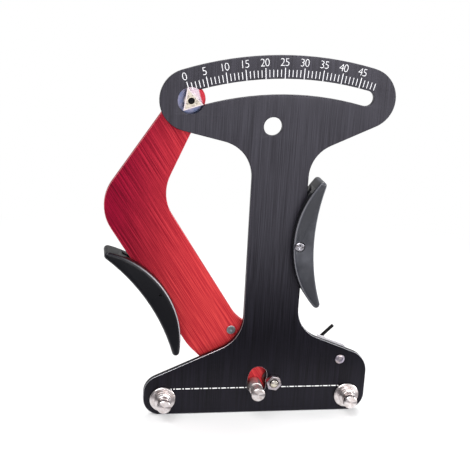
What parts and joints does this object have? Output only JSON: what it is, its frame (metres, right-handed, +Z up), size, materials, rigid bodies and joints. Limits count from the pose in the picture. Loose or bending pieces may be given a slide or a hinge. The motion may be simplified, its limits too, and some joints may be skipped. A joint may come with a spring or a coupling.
{
  "type": "spoke tension meter",
  "caption": "Hand-held spoke tension meter: flat plate with grooved posts, sprung bell-crank lever that bends the spoke and carries a pointer along an arc scale, and grips to squeeze.",
  "frame": {"origin": "middle of the plate's lower edge, 1 mm in front of the base_edge mount's point, on the front face", "axes": "+X to the right across the front, +Y from the front to the back, +Z up the stem towards the scale"},
  "size_m": [0.147, 0.0292, 0.1949],
  "materials": {
    "black_anodised": "brushed upright, anodised black, satin",
    "red_anodised": "brushed along the lower arm, anodised red",
    "satin_black": "satin moulded, worn at the edges",
    "cream_paint": "semi-gloss cream",
    "blued_steel": "heat-blued, satin",
    "polished_steel": "turned and polished",
    "bright_zinc": "bright zinc plated",
    "bearing_bronze": "turned, oiled",
    "black_oxide_steel": "black oxide"
  },
  "bodies": {
    "frame": {"front_plate": "black_anodised", "left_post": "polished_steel", "right_post": "polished_steel", "left_post_screw": "bright_zinc", "right_post_screw": "bright_zinc", "pivot_bolt": "bright_zinc", "pivot_nut": "polished_steel", "pivot_washer": "bearing_bronze", "pivot_bush": "bearing_bronze", "spring_washer": "bright_zinc", "torsion_spring": "black_oxide_steel", "spring_anchor": "bright_zinc", "anchor_rivet": "polished_steel", "right_grip": "satin_black", "right_grip_screw": "bright_zinc"},
    "lever": {"lever_arm": "red_anodised", "moving_post": "polished_steel", "moving_post_screw": "bright_zinc", "spring_stud": "bright_zinc", "pointer": "cream_paint", "pointer_disc": "blued_steel", "pointer_spacer": "polished_steel", "pointer_screw": "black_oxide_steel", "left_grip": "satin_black", "left_grip_screw": "bright_zinc"}
  },
  "joints": [
    {"name": "lever_pivot", "type": "hinge", "parent": "frame", "child": "lever", "pos_m": [0.0091, 0.0059, 0.0184], "axis": [0, 1, 0], "range_deg": [0, 32.4], "stiffness_Nm_per_rad": 0.8, "springref_deg": -34.38, "deforming": ["torsion_spring"]}
  ]
}
